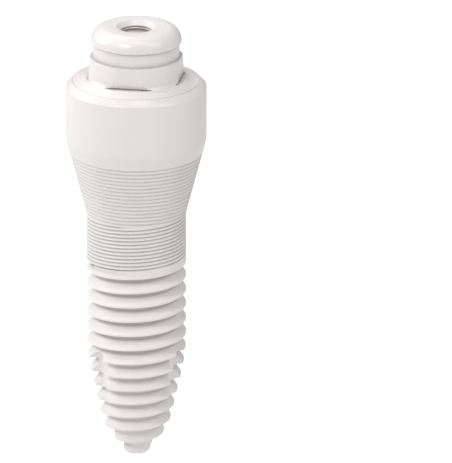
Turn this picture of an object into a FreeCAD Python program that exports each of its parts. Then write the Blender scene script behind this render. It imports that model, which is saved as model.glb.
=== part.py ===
import FreeCAD, Part
import Sketcher
import math
import os
import re

# Two-piece ceramic dental implant with its abutment and the metal insert that joins them.
# Millimetres. +Z runs up along the axis, from the apex to the cap. The origin is on the axis
# at bone level, where the polished collar ends and the ring grooves begin.

# Driving sizes: name, value, what it is.
SIZES = [
    # collar and neck of the body, above and below bone level
    ("collar_radius", 2.83, "polished collar"),
    ("collar_height", 2.65, "bone level to the bevel"),
    ("bevel_height", 0.27, "rise of the bevel"),
    ("bevel_width", 0.25, "inward run of the bevel"),
    ("neck_height", 2.70, "bone level down to the threaded cylinder"),
    ("neck_angle", 14.7, "half angle of the tapered neck, degrees"),
    ("neck_blend", 1.20, "radius between collar and neck"),
    ("ring_start", 0.075, "bone level down to the first ring groove"),
    ("ring_pitch", 0.165, "distance between ring grooves"),
    ("ring_depth", 0.035, "depth of a ring groove"),
    # threaded cylinder
    ("thread_radius", 2.00, "cylinder under the neck and the thread's crests on it"),
    ("lead", 0.605, "rise of the thread in one turn"),
    ("thread_drop", 2.21, "neck down to the first crest's lower edge"),
    ("thread_facing", -80.4, "direction of that edge, degrees from +X"),
    ("thread_depth", 0.35, "depth of the thread on the cylinder"),
    ("thread_crest", 0.065, "crest width of the thread"),
    ("thread_root", 0.20, "root width of the thread"),
    ("thread_underside", 0.04, "axial run of the steep lower flank"),
    ("thread_rise", 340.0, "arc by which the first groove climbs above that edge, degrees"),
    ("thread_fade", 160.0, "arc over which the groove fades out at both ends, degrees"),
    ("tool_margin", 0.05, "how far the thread's tool stands out of the wall"),
    ("tool_lift", 0.02, "how far both ends of the tool lift off the wall"),
    ("cylinder_length", 4.90, "neck down to the start of the taper"),
    # tapered end
    ("taper_angle", 12.7, "half angle of the tapered end, degrees"),
    ("taper_blend", 9.30, "radius between cylinder and taper"),
    ("taper_length", 3.60, "start of the taper down to the nose curve"),
    ("nose_radius", 2.40, "radius of the nose curve"),
    ("tip_radius", 0.57, "plain tip"),
    ("tip_height", 0.33, "nose curve down to the lowest point"),
    ("tip_chamfer", 0.22, "chamfer of the tip"),
    ("flute_count", 3, "cutting flutes"),
    ("flute_facing", 223.6, "direction of the first flute, degrees from +X"),
    ("flute_floor", 1.50, "flute's floor from the axis"),
    ("flute_round", 0.50, "radius of the flute's section"),
    ("flute_drop", 1.15, "start of the taper down to the centre of the flute's round end"),
    # connection inside the body
    ("funnel_depth", 0.52, "top of the bevel down to the seat cone"),
    ("cone_radius", 1.77, "seat cone at its mouth"),
    ("cone_angle", 7.3, "half angle of the seat cone, degrees"),
    ("cone_length", 1.60, "height of the seat cone on the abutment"),
    ("guide_radius", 1.40, "guide cylinder of the insert"),
    ("guide_length", 1.57, "height of that cylinder"),
    ("stud_radius", 0.70, "stud under the guide cylinder"),
    ("stud_length", 2.13, "its length"),
    ("stud_chamfer", 0.10, "its chamfer"),
    ("stud_space", 0.20, "free depth of the tapped bore under the stud"),
    ("joint_gap", 0.02, "clearance where faces don't seat"),
    ("drill_angle", 59.0, "half angle of a drilled bottom, degrees"),
    # abutment, upwards from the top of the bevel
    ("seam_gap", 0.03, "gap between skirt and bevel"),
    ("skirt_edge", 0.03, "height of the skirt's outer edge"),
    ("skirt_angle", 14.0, "rise of the skirt from its edge, degrees"),
    ("skirt_fillet", 0.30, "hollow between skirt and base"),
    ("base_radius", 1.880, "base at the ledge"),
    ("base_angle", 5.2, "taper of the base, degrees"),
    ("base_height", 1.025, "top of the bevel to the ledge"),
    ("ledge_chamfer", 0.03, "chamfer of the ledge"),
    ("flat_distance", 1.825, "wrench flat from the axis"),
    ("flat_lift", 0.155, "top of the bevel to the foot of the flats"),
    ("flat_count", 4, "wrench flats"),
    ("flat_reach", 2.0, "outward reach of a flat's cutter"),
    ("relief_height", 0.05, "height of the relief at the foot of a flat"),
    ("relief_depth", 0.04, "depth of that relief"),
    ("groove_radius", 1.745, "retention groove"),
    ("groove_height", 0.585, "height of that groove"),
    ("cap_radius", 1.83, "rounded cap"),
    ("cap_height", 0.64, "groove to the top of the cap"),
    ("cap_round", 0.56, "rounding of the cap's top"),
    ("cap_edge", 0.05, "chamfer of the cap's lower edge"),
    ("mouth_radius", 0.80, "countersink in the cap"),
    ("mouth_depth", 0.17, "depth of that countersink"),
    ("mouth_lip", 0.04, "plain lip under the countersink"),
    # insert in the abutment
    ("insert_radius", 0.93, "shank of the insert"),
    ("cement_gap", 0.03, "cement around the shank"),
    ("bore_radius", 0.61, "tapped hole"),
    ("bore_length", 1.90, "length of that hole's wall"),
]

# Places that several outlines share, as expressions of the sizes above.
RIM = "(collar_height + bevel_height)"
CONE_MOUTH = f"({RIM} - funnel_depth)"
CONE_FOOT = f"({CONE_MOUTH} - cone_length)"
GUIDE_FOOT = f"({CONE_FOOT} - guide_length)"
STUD_FOOT = f"({GUIDE_FOOT} - stud_length)"
TAPER_TOP = "(-neck_height - cylinder_length)"
BLEND_RUN = "(taper_blend * tan(taper_angle / 2))"
BLEND_END_RADIUS = f"(thread_radius - {BLEND_RUN} * sin(taper_angle))"
BLEND_END = f"({TAPER_TOP} - {BLEND_RUN} * (1 + cos(taper_angle)))"
BLEND_MIDDLE_RADIUS = "(thread_radius - taper_blend * (1 - cos(taper_angle / 2)))"
BLEND_MIDDLE = f"({TAPER_TOP} - taper_blend * sin(taper_angle / 2))"
NOSE_TOP = f"({TAPER_TOP} - taper_length)"
NOSE_TOP_RADIUS = f"({BLEND_END_RADIUS} - ({BLEND_END} - {NOSE_TOP}) * tan(taper_angle))"
NOSE_CENTRE_RADIUS = f"({NOSE_TOP_RADIUS} - nose_radius * cos(taper_angle))"
NOSE_CENTRE = f"({NOSE_TOP} + nose_radius * sin(taper_angle))"
NOSE_END = f"({NOSE_CENTRE} - sqrt(nose_radius ^ 2 - (tip_radius - {NOSE_CENTRE_RADIUS}) ^ 2))"
NOSE_SWEEP = f"(acos((tip_radius - {NOSE_CENTRE_RADIUS}) / nose_radius) / 1 deg - taper_angle)"
TIP = f"({NOSE_END} - tip_height)"
SKIRT = "(collar_radius - bevel_width - seam_gap)"
SKIRT_FOOT = f"({RIM} - funnel_depth * seam_gap / (collar_radius - bevel_width - cone_radius))"
SKIRT_TOP = f"({SKIRT_FOOT} + skirt_edge)"
LEDGE = f"({RIM} + base_height)"
SKIRT_SLOPE = "tan(skirt_angle)"
BASE_SLOPE = "tan(base_angle)"
# Where the skirt's slope would meet the base, and the fillet that rounds that corner.
HOLLOW_RISE = f"({LEDGE} - ledge_chamfer - {SKIRT_TOP} - {SKIRT} * {SKIRT_SLOPE})"
HOLLOW_RADIUS = f"((base_radius + {HOLLOW_RISE} * {BASE_SLOPE}) / (1 - {SKIRT_SLOPE} * {BASE_SLOPE}))"
HOLLOW_HEIGHT = f"({SKIRT_TOP} + ({SKIRT} - {HOLLOW_RADIUS}) * {SKIRT_SLOPE})"
HOLLOW_RUN = "(skirt_fillet * tan((90 - skirt_angle - base_angle) / 2))"
HOLLOW_FOOT_RADIUS = f"({HOLLOW_RADIUS} + {HOLLOW_RUN} * cos(skirt_angle))"
HOLLOW_FOOT = f"({HOLLOW_HEIGHT} - {HOLLOW_RUN} * sin(skirt_angle))"
HOLLOW_MIDDLE = "(225 + (base_angle - skirt_angle) / 2)"
CAP_FOOT = f"({LEDGE} + groove_height)"
CAP_TOP = f"({CAP_FOOT} + cap_height)"
INSERT_TOP = f"({CAP_TOP} - mouth_depth - mouth_lip - joint_gap)"

POINTS_PER_TURN = 12
NOSE_CHORDS = 3

# Outline of the threaded end without its thread, from the tip up to the neck. Long chords
# stand for its two wide curves, so that they take few facets.
NOSE_POINTS = [
    (
        f"({NOSE_CENTRE_RADIUS} + nose_radius * cos(taper_angle + {NOSE_SWEEP} * {chord} / {NOSE_CHORDS}))",
        f"({NOSE_CENTRE} - nose_radius * sin(taper_angle + {NOSE_SWEEP} * {chord} / {NOSE_CHORDS}))",
    )
    for chord in range(NOSE_CHORDS - 1, 0, -1)
]
THREADED_END = [
    ("tip_radius", NOSE_END),
    *NOSE_POINTS,
    (NOSE_TOP_RADIUS, NOSE_TOP),
    (BLEND_END_RADIUS, BLEND_END),
    (BLEND_MIDDLE_RADIUS, BLEND_MIDDLE),
    ("thread_radius", TAPER_TOP),
    ("thread_radius", "-neck_height"),
]

doc = FreeCAD.newDocument("dental_implant")
sheet = doc.addObject("Spreadsheet::Sheet", "sizes")
for row, (alias, number, meaning) in enumerate(SIZES, start=1):
    sheet.set(f"A{row}", alias)
    sheet.set(f"B{row}", str(number))
    sheet.set(f"C{row}", meaning)
    sheet.setAlias(f"B{row}", alias)
doc.recompute()

ALIASES = {alias for alias, _, _ in SIZES}


def bound(expression):
    """The expression with every size read from the sheet."""
    return re.sub(r"[a-z_]+", lambda word: ("sizes." if word[0] in ALIASES else "") + word[0], expression)


def value(expression):
    """What an expression of the sizes comes to now."""
    return float(sheet.evalExpression(bound(expression)))


def plane_of(body, role):
    """One of a body's own origin planes."""
    return next(item for item in body.Origin.OriginFeatures if item.Role == role)


def half_section(body, name, outline):
    """A closed sketch on the body's XZ plane, with each corner held by a radius and a height.

    An outline is a list of corners: radius, height and, where an arc leads to the next corner,
    its radius and +1 or -1 for an arc that runs anticlockwise or clockwise.
    """
    sketch = body.newObject("Sketcher::SketchObject", name)
    sketch.AttachmentSupport = (plane_of(body, "XZ_Plane"), [""])
    sketch.MapMode = "FlatFace"
    places = [FreeCAD.Vector(value(corner[0]), value(corner[1]), 0) for corner in outline]
    ends = []
    for index, corner in enumerate(outline):
        here = places[index]
        there = places[(index + 1) % len(places)]
        if len(corner) == 2:
            edge = sketch.addGeometry(Part.LineSegment(here, there))
            ends.append((edge, 1, 2))
            continue
        radius = value(corner[2])
        turn = corner[3]
        chord = there - here
        side = FreeCAD.Vector(-chord.y, chord.x, 0).normalize() * turn
        reach = math.sqrt(max(radius ** 2 - (chord.Length / 2) ** 2, 0))
        centre = (here + there) / 2 + side * reach
        first, last = (here, there) if turn > 0 else (there, here)
        angles = [math.atan2(place.y - centre.y, place.x - centre.x) for place in (first, last)]
        circle = Part.Circle(centre, FreeCAD.Vector(0, 0, 1), radius)
        edge = sketch.addGeometry(Part.ArcOfCircle(circle, angles[0], angles[1]))
        held = sketch.addConstraint(Sketcher.Constraint("Radius", edge, radius))
        sketch.setExpression(f"Constraints[{held}]", bound(corner[2]))
        ends.append((edge, 1, 2) if turn > 0 else (edge, 2, 1))
    for index, corner in enumerate(outline):
        edge, start, _ = ends[index]
        before, _, finish = ends[index - 1]
        sketch.addConstraint(Sketcher.Constraint("Coincident", before, finish, edge, start))
        if corner[0] == "0":
            sketch.addConstraint(Sketcher.Constraint("PointOnObject", edge, start, -2))
        else:
            across = Sketcher.Constraint("DistanceX", -1, 1, edge, start, places[index].x)
            held = sketch.addConstraint(across)
            sketch.setExpression(f"Constraints[{held}]", bound(corner[0]))
        up = Sketcher.Constraint("DistanceY", -1, 1, edge, start, places[index].y)
        held = sketch.addConstraint(up)
        sketch.setExpression(f"Constraints[{held}]", bound(corner[1]))
    return sketch


def turned(body, name, outline):
    """Turn a half section about the body's axis."""
    sketch = half_section(body, name + "_section", outline)
    solid = body.newObject("PartDesign::Revolution", name)
    solid.Profile = sketch
    solid.ReferenceAxis = (sketch, ["V_Axis"])
    solid.Angle = 360
    doc.recompute()
    return solid


def implant_blank():
    """The body before its grooves and threads are cut: collar, neck, tapered end and inner seat."""
    body = doc.addObject("PartDesign::Body", "implant_blank")
    neck_corner = "(-neck_height + (collar_radius - thread_radius) / tan(neck_angle))"
    neck_run = "(neck_blend * tan(neck_angle / 2))"
    bore_foot = f"({STUD_FOOT} - stud_space)"
    outline = [
        ("0", TIP),
        ("tip_radius - tip_chamfer", TIP),
        ("tip_radius", f"{TIP} + tip_chamfer"),
        *THREADED_END,
        (
            f"collar_radius - {neck_run} * sin(neck_angle)",
            f"{neck_corner} - {neck_run} * cos(neck_angle)",
            "neck_blend",
            1,
        ),
        ("collar_radius", f"{neck_corner} + {neck_run}"),
        ("collar_radius", "collar_height"),
        ("collar_radius - bevel_width", RIM),
        ("cone_radius", CONE_MOUTH),
        (
            "cone_radius - (cone_length + joint_gap) * tan(cone_angle)",
            f"{CONE_FOOT} - joint_gap",
        ),
        ("guide_radius + joint_gap", f"{CONE_FOOT} - joint_gap"),
        ("guide_radius + joint_gap", f"{GUIDE_FOOT} - joint_gap"),
        ("stud_radius + joint_gap", f"{GUIDE_FOOT} - joint_gap"),
        ("stud_radius + joint_gap", bore_foot),
        ("0", f"{bore_foot} - (stud_radius + joint_gap) / tan(drill_angle)"),
    ]
    turned(body, "implant_turning", outline)
    return body


def cut_rings(body):
    """Closed ring grooves down the tapered neck, all in one sketch."""
    body_shape = body.Shape.Volume
    sketch = body.newObject("Sketcher::SketchObject", "ring_section")
    sketch.AttachmentSupport = (plane_of(body, "XZ_Plane"), [""])
    sketch.MapMode = "FlatFace"
    count = int(value("(neck_height - ring_start) / ring_pitch + 0.5"))
    slope = "tan(neck_angle)"
    half = "(ring_pitch / 2)"
    for ring in range(count):
        height = f"(-ring_start - {ring} * ring_pitch)"
        wall = f"(thread_radius + ({height} + neck_height) * {slope})"
        corners = [
            (f"{wall} - ring_depth", height),
            (f"{wall} - {half} * {slope}", f"{height} - {half}"),
            (f"{wall} + {half} * {slope}", f"{height} + {half}"),
        ]
        places = [FreeCAD.Vector(value(corner[0]), value(corner[1]), 0) for corner in corners]
        edges = [sketch.addGeometry(Part.LineSegment(places[i], places[(i + 1) % 3])) for i in range(3)]
        for index, corner in enumerate(corners):
            edge = edges[index]
            sketch.addConstraint(Sketcher.Constraint("Coincident", edges[index - 1], 2, edge, 1))
            for axis, place, expression in (
                ("DistanceX", places[index].x, corner[0]),
                ("DistanceY", places[index].y, corner[1]),
            ):
                held = sketch.addConstraint(Sketcher.Constraint(axis, -1, 1, edge, 1, place))
                sketch.setExpression(f"Constraints[{held}]", bound(expression))
    groove = body.newObject("PartDesign::Groove", "ring_grooves")
    groove.Profile = sketch
    groove.ReferenceAxis = (sketch, ["V_Axis"])
    groove.Angle = 360
    doc.recompute()
    if groove.Shape.Volume >= body_shape:
        raise RuntimeError("the ring grooves cut nothing")


def helical_solid(section, start, end):
    """A solid along a helix. section gives its corners, as radius and height, at an angle."""
    steps = max(2, math.ceil(abs(end - start) / 360 * POINTS_PER_TURN))
    angles = [start + (end - start) * step / steps for step in range(steps + 1)]
    sections = [section(angle) for angle in angles]
    sides = len(sections[0])
    curves = []
    for side in range(sides):
        points = []
        for angle, corners in zip(angles, sections):
            radius, height = corners[side]
            turn = math.radians(angle)
            points.append(FreeCAD.Vector(radius * math.cos(turn), radius * math.sin(turn), height))
        curve = Part.BSplineCurve()
        curve.interpolate(Points=points, Parameters=[float(step) for step in range(steps + 1)])
        curves.append((curve, points))
    faces = []
    for first in range(0, steps, POINTS_PER_TURN):
        last = min(first + POINTS_PER_TURN, steps)
        edges = [curve.toShape(float(first), float(last)) for curve, _ in curves]
        for side in range(sides):
            after = edges[(side + 1) % sides]
            faces.append(Part.makeRuledSurface(path=edges[side], profile=after, orientation=1))
    for step in (0, steps):
        rim = [points[step] for _, points in curves]
        faces.append(Part.Face(Part.makePolygon(rim + rim[:1])))
    shell = Part.Compound(faces)
    shell.sewShape()
    solid = Part.Solid(shell.Shells[0] if shell.ShapeType == "Compound" else shell)
    if solid.Volume < 0:
        solid.reverse()
    return solid


def wall(height, outline):
    """Radius of the threaded end, without its thread, at a height."""
    if height <= outline[0][1]:
        return outline[0][0]
    for (low_radius, low), (high_radius, high) in zip(outline, outline[1:]):
        if height <= high:
            return low_radius + (high_radius - low_radius) * (height - low) / (high - low)
    return outline[-1][0]


def share_at(angle, bottom, top, sweep):
    """1 along a groove, and down to 0 at both of its ends."""
    return max(0.0, min(1.0, (top - angle) / sweep, (angle - bottom) / sweep))


def thread_groove():
    """What the thread removes: one groove of a right-hand buttress form, down to the tip."""
    level = value("-neck_height - thread_drop")
    facing = value("thread_facing")
    lead = value("lead")
    depth = value("thread_depth")
    width = value("lead - thread_crest")
    margin = value("tool_margin")
    lift = value("tool_lift")
    outline = [(value(radius), value(height)) for radius, height in THREADED_END]
    fade = value("thread_fade")
    full = value("thread_radius")
    underside = value("thread_underside") / depth
    upside = value("lead - thread_crest - thread_underside - thread_root") / depth
    top = facing + value("thread_rise")
    bottom = facing - 360 * (level - value(NOSE_END)) / lead

    def section(angle):
        upper = level + lead * (angle - facing) / 360
        lower = upper - width
        share = share_at(angle, bottom, top, fade)
        local = depth * math.sqrt(wall((upper + lower) / 2, outline) / full)
        sink = local * share - lift * (1 - share)
        high_wall = wall(upper, outline)
        low_wall = wall(lower, outline)
        return [
            (high_wall + margin, upper + underside * margin),
            (high_wall - sink, upper - underside * sink),
            (low_wall - sink, lower + upside * sink),
            (low_wall + margin, lower - upside * margin),
        ]

    return helical_solid(section, top, bottom)


def cut(name, base, cutter):
    """One solid less another, which has to take something away."""
    result = doc.addObject("Part::Cut", name)
    result.Base = base
    result.Tool = cutter
    doc.recompute()
    if result.Shape.isNull() or result.Shape.Volume >= base.Shape.Volume:
        raise RuntimeError(f"{name} cuts nothing")
    return result


def flute_tools():
    """Round cutters with a ball end, side by side with the axis."""
    tools = []
    for flute in range(int(value("flute_count"))):
        turn = f"(flute_facing + {flute} * 360 / flute_count)"
        across = bound(f"(flute_floor + flute_round) * cos({turn})")
        along = bound(f"(flute_floor + flute_round) * sin({turn})")
        shaft = doc.addObject("Part::Cylinder", f"flute_{flute + 1}_shaft")
        shaft.setExpression("Radius", "sizes.flute_round")
        shaft.setExpression("Height", bound(f"{TAPER_TOP} - flute_drop - {TIP}"))
        shaft.setExpression("Placement.Base.x", across)
        shaft.setExpression("Placement.Base.y", along)
        shaft.setExpression("Placement.Base.z", bound(TIP))
        ball = doc.addObject("Part::Sphere", f"flute_{flute + 1}_end")
        ball.setExpression("Radius", "sizes.flute_round")
        ball.setExpression("Placement.Base.x", across)
        ball.setExpression("Placement.Base.y", along)
        ball.setExpression("Placement.Base.z", bound(f"{TAPER_TOP} - flute_drop"))
        joined = doc.addObject("Part::Fuse", f"flute_{flute + 1}")
        joined.Base = shaft
        joined.Tool = ball
        tools.append(joined)
    doc.recompute()
    return tools


def implant_body():
    """The threaded root with its polished collar."""
    blank = implant_blank()
    cut_rings(blank)
    groove = doc.addObject("Part::Feature", "thread_groove")
    groove.Shape = thread_groove()
    threaded = cut("thread", blank, groove)
    flutes = doc.addObject("Part::Compound", "flutes")
    flutes.Links = flute_tools()
    return cut("implant_body", threaded, flutes)


def abutment():
    """The head with its rounded cap, retention groove, wrench flats, skirt and seat cone."""
    body = doc.addObject("PartDesign::Body", "abutment")
    half_arc = "cap_round * (1 - cos(45))"
    outline = [
        ("insert_radius + cement_gap", CONE_FOOT),
        ("cone_radius - cone_length * tan(cone_angle)", CONE_FOOT),
        ("cone_radius", CONE_MOUTH),
        (SKIRT, SKIRT_FOOT),
        (SKIRT, SKIRT_TOP),
        (HOLLOW_FOOT_RADIUS, HOLLOW_FOOT),
        (
            f"{HOLLOW_FOOT_RADIUS} + skirt_fillet * (sin(skirt_angle) + cos({HOLLOW_MIDDLE}))",
            f"{HOLLOW_FOOT} + skirt_fillet * (cos(skirt_angle) + sin({HOLLOW_MIDDLE}))",
        ),
        (
            f"{HOLLOW_RADIUS} - {HOLLOW_RUN} * sin(base_angle)",
            f"{HOLLOW_HEIGHT} + {HOLLOW_RUN} * cos(base_angle)",
        ),
        ("base_radius", f"{LEDGE} - ledge_chamfer"),
        ("base_radius - ledge_chamfer", LEDGE),
        ("groove_radius", LEDGE),
        ("groove_radius", CAP_FOOT),
        ("cap_radius - cap_edge", CAP_FOOT),
        ("cap_radius", f"{CAP_FOOT} + cap_edge"),
        ("cap_radius", f"{CAP_TOP} - cap_round", "cap_round", 1),
        (f"cap_radius - {half_arc}", f"{CAP_TOP} - {half_arc}", "cap_round", 1),
        ("cap_radius - cap_round", CAP_TOP),
        ("mouth_radius", CAP_TOP),
        ("mouth_radius - mouth_depth", f"{CAP_TOP} - mouth_depth"),
        ("mouth_radius - mouth_depth", f"{CAP_TOP} - mouth_depth - mouth_lip"),
        ("insert_radius + cement_gap", f"{CAP_TOP} - mouth_depth - mouth_lip"),
    ]
    turning = turned(body, "abutment_turning", outline)
    foot = f"({RIM} + flat_lift)"
    flats = half_section(body, "flat_section", [
        ("flat_distance - relief_depth", foot),
        ("flat_distance + flat_reach", foot),
        ("flat_distance + flat_reach", f"{LEDGE} + groove_height / 2"),
        ("flat_distance", f"{LEDGE} + groove_height / 2"),
        ("flat_distance", f"{foot} + relief_height"),
        ("flat_distance - relief_depth", f"{foot} + relief_height"),
    ])
    pocket = body.newObject("PartDesign::Pocket", "wrench_flat")
    pocket.Profile = flats
    pocket.Type = "ThroughAll"
    pocket.Midplane = True
    doc.recompute()
    if pocket.Shape.Volume >= turning.Shape.Volume:
        raise RuntimeError("the wrench flat cuts nothing")
    around = body.newObject("PartDesign::PolarPattern", "wrench_flats")
    around.Originals = [pocket]
    around.Axis = (next(item for item in body.Origin.OriginFeatures if item.Role == "Z_Axis"), [""])
    around.Angle = 360
    around.setExpression("Occurrences", "sizes.flat_count")
    body.Tip = around
    doc.recompute()
    return body


def insert_stud():
    """The metal insert: tapped shank in the abutment, guide cylinder and stud in the body."""
    body = doc.addObject("PartDesign::Body", "insert_stud")
    outline = [
        ("0", STUD_FOOT),
        ("stud_radius - stud_chamfer", STUD_FOOT),
        ("stud_radius", f"{STUD_FOOT} + stud_chamfer"),
        ("stud_radius", GUIDE_FOOT),
        ("guide_radius", GUIDE_FOOT),
        ("guide_radius", CONE_FOOT),
        ("insert_radius", CONE_FOOT),
        ("insert_radius", INSERT_TOP),
        ("bore_radius", INSERT_TOP),
        ("bore_radius", f"{INSERT_TOP} - bore_length"),
        ("0", f"{INSERT_TOP} - bore_length - bore_radius / tan(drill_angle)"),
    ]
    turned(body, "insert_turning", outline)
    return body


pieces = [implant_body(), abutment(), insert_stud()]
doc.recompute()
for item in doc.Objects:
    if "Invalid" in item.State or "Error" in item.State:
        raise RuntimeError(f"{item.Label} failed")
os.makedirs("parts", exist_ok=True)
for piece, label in zip(pieces, ("implant_body", "abutment", "insert_stud")):
    piece.Label = label
    piece.Placement = FreeCAD.Placement()
    if piece.Shape.isNull() or not piece.Shape.isValid() or len(piece.Shape.Solids) != 1:
        raise RuntimeError(f"{label} isn't one valid solid")
    piece.Shape.exportStep(f"parts/{label}.step")
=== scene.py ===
import math

import bmesh
import bpy
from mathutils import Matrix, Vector


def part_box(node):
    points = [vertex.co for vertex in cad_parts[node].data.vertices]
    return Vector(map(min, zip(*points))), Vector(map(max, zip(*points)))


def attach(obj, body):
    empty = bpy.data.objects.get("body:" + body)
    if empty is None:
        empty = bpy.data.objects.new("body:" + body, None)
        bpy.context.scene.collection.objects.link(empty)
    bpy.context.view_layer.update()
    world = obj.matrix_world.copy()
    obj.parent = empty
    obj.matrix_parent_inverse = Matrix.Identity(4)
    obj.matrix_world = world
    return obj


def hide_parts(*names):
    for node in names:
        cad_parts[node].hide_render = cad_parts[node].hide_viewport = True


bl_info = {
    "name": "Dental implant dressing",
    "version": (1, 0, 0),
    "blender": (4, 5, 0),
    "location": "3D View > Sidebar > Implant",
    "description": "Finished root, head, insert and studio for a two-piece ceramic implant",
    "category": "Object",
}

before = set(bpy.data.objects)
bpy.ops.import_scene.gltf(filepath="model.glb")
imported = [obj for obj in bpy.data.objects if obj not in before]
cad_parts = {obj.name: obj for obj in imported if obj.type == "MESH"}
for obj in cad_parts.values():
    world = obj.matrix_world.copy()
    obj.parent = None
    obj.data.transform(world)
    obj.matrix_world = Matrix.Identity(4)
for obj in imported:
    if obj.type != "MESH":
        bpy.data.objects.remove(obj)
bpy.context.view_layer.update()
BODY_LOW, BODY_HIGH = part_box("implant_body")
HEAD_LOW, HEAD_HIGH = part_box("abutment")
INSERT_LOW, INSERT_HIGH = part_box("insert_stud")

MM = 0.001

# Meshes: columns in one turn, largest step of an arc, merging distance, and what counts as nothing.
STEPS = 192
ARC_STEP = math.radians(7)
WELD = 2e-7
NO_RADIUS = 1e-9
NO_LENGTH = 1e-7

# Rounded corners: bends under this angle stay as they are, and a round takes this share of a side.
EASE_BEND = math.radians(12)
EASE_SHARE = 0.4

# Bends that are shown as sharp edges on each piece.
ROOT_SHARP = math.radians(24)
HEAD_SHARP = math.radians(13)
INSERT_SHARP = math.radians(32)

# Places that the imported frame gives.
RIM = BODY_HIGH[2]
TIP = BODY_LOW[2]
SEAT_FOOT = HEAD_LOW[2]
CAP_TOP = HEAD_HIGH[2]
STUD_FOOT = INSERT_LOW[2]
INSERT_TOP = INSERT_HIGH[2]
COLLAR = BODY_HIGH[0]
SKIRT = HEAD_HIGH[0]

# Neck, cylinder and tapered end.
RING_START = -0.11 * MM
NECK_FOOT = -2.70 * MM
LAND = -4.54 * MM
LAND_TILT = 0.08 * MM
NECK_ANGLE = math.radians(14.7)
NECK_BLEND = 1.20 * MM
CYLINDER = 2.00 * MM
TAPER_ANGLE = math.radians(12.7)
TAPER_TOP = -7.60 * MM
TAPER_BLEND = 9.30 * MM
NOSE_TOP = -11.20 * MM
NOSE_RADIUS = 2.40 * MM
TIP_RADIUS = 0.57 * MM
TIP_ROUND = 0.30 * MM
BEVEL_HEIGHT = 0.27 * MM
BEVEL_WIDTH = 0.25 * MM
EDGE_ROUND = 0.03 * MM

# Connection inside the root.
FUNNEL_DEPTH = 0.52 * MM
SEAT_RADIUS = 1.77 * MM
SEAT_HEIGHT = 1.60 * MM
SEAT_ANGLE = math.radians(7.3)
GUIDE_RADIUS = 1.40 * MM
GUIDE_FOOT = SEAT_FOOT - 1.57 * MM
STUD_RADIUS = 0.70 * MM
STUD_SPACE = 0.20 * MM
FIT_GAP = 0.02 * MM
DRILL_ANGLE = math.radians(59)

# Head.
SKIRT_EDGE = 0.012 * MM
SKIRT_ANGLE = math.radians(14)
SKIRT_FILLET = 0.30 * MM
BASE_RADIUS = 1.88 * MM
BASE_ANGLE = math.radians(5.2)
LEDGE = RIM + 1.025 * MM
LEDGE_ROUND = 0.03 * MM
FLAT_DISTANCE = 1.825 * MM
FLAT_FOOT = RIM + 0.155 * MM
FLAT_COUNT = 4
FLAT_MARGIN = 0.50 * MM
RELIEF_HEIGHT = 0.045 * MM
RELIEF_DEPTH = 0.045 * MM
GROOVE_RADIUS = 1.745 * MM
GROOVE_TOP = LEDGE + 0.585 * MM
CAP_RADIUS = 1.83 * MM
CAP_ROUND = 0.56 * MM
CAP_EDGE = 0.06 * MM
MOUTH_RADIUS = 0.80 * MM
MOUTH_DEPTH = 0.17 * MM
MOUTH_LIP = 0.04 * MM
HEAD_EDGE_ROUND = 0.02 * MM

# Insert.
INSERT_RADIUS = 0.93 * MM
CEMENT_GAP = 0.03 * MM
BORE_RADIUS = 0.61 * MM
BORE_DEPTH = 1.90 * MM
BORE_CHAMFER = 0.06 * MM
BORE_THREAD_DEPTH = 0.10 * MM
STUD_CHAMFER = 0.10 * MM
INSERT_EDGE_ROUND = 0.01 * MM

# Flutes: round cutters with a ball end, side by side with the axis.
FLUTE_RADIUS = 0.50 * MM
FLUTE_FLOOR = 1.50 * MM
FLUTE_END = -8.75 * MM

# Lamps: azimuth and elevation in degrees, distance and width in millimetres, power in watts, colour.
LAMPS = {
    "side": (-93, 29, 150, 90, 0.084, (1.0, 0.99, 0.985)),
    "key": (-23, 42, 150, 60, 0.066, (1.0, 1.0, 1.0)),
    "rim": (62, 43, 150, 80, 0.048, (1.0, 1.0, 1.0)),
    "top": (30, 72, 150, 60, 0.028, (1.0, 1.0, 1.0)),
    "back": (-140, 54, 150, 60, 0.058, (1.0, 1.0, 1.0)),
}
SKY = 0.31
FLOOR_DROP = 3.0 * MM
FLOOR_REACH = 400 * MM
FLOOR_GLOW = 0.45

# Painted shade of the ceramic: how far the ambient occlusion looks for its corners, the openness that counts
# as closed, and the share of the colour left there.
PAINTED_SHADE_REACH = 0.25 * MM
PAINTED_SHADE_LOW = 0.40
PAINTED_SHADE_FACTOR = 0.52
WARM_TINT = (0.985, 0.97, 0.965)

# Height under which the root is blasted, and the run from polished to blasted.
BLAST_LEVEL = 0.0
BLAST_RUN = 0.05 * MM

# Scales of the noise in the finishes: grit and clouds of the ceramic, rings and stains of the metal.
GRIT_SCALE = 9000.0
CLOUD_SCALE = 420.0
TURNING_SCALE = 40000.0
STAIN_SCALE = 1500.0
STAIN_SHADE = 0.72

# Camera: azimuth and elevation in degrees, rows of the picture and their height, lens and aim.
VIEW_AZIMUTH = 9.6
VIEW_ELEVATION = 18.9
PICTURE_ROWS = 463
ROW_HEIGHT = 0.04016
PICTURE_HEIGHT = PICTURE_ROWS * ROW_HEIGHT * MM
LENS = 1500.0
SENSOR = 24.0
AIM_HEIGHT = -3.524 * MM
AIM_ASIDE = 3.6 * MM

# Where the tapered end's cone and nose lie.
BLEND_RUN = TAPER_BLEND * math.tan(TAPER_ANGLE / 2)
CONE_TOP = TAPER_TOP - BLEND_RUN
CONE_AT_NOSE = CYLINDER - (CONE_TOP - NOSE_TOP) * math.tan(TAPER_ANGLE)
NOSE_CENTRE_RADIUS = CONE_AT_NOSE - NOSE_RADIUS * math.cos(TAPER_ANGLE)
NOSE_CENTRE = NOSE_TOP + NOSE_RADIUS * math.sin(TAPER_ANGLE)
NOSE_END = NOSE_CENTRE - math.sqrt(NOSE_RADIUS**2 - (TIP_RADIUS - NOSE_CENTRE_RADIUS) ** 2)


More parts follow.
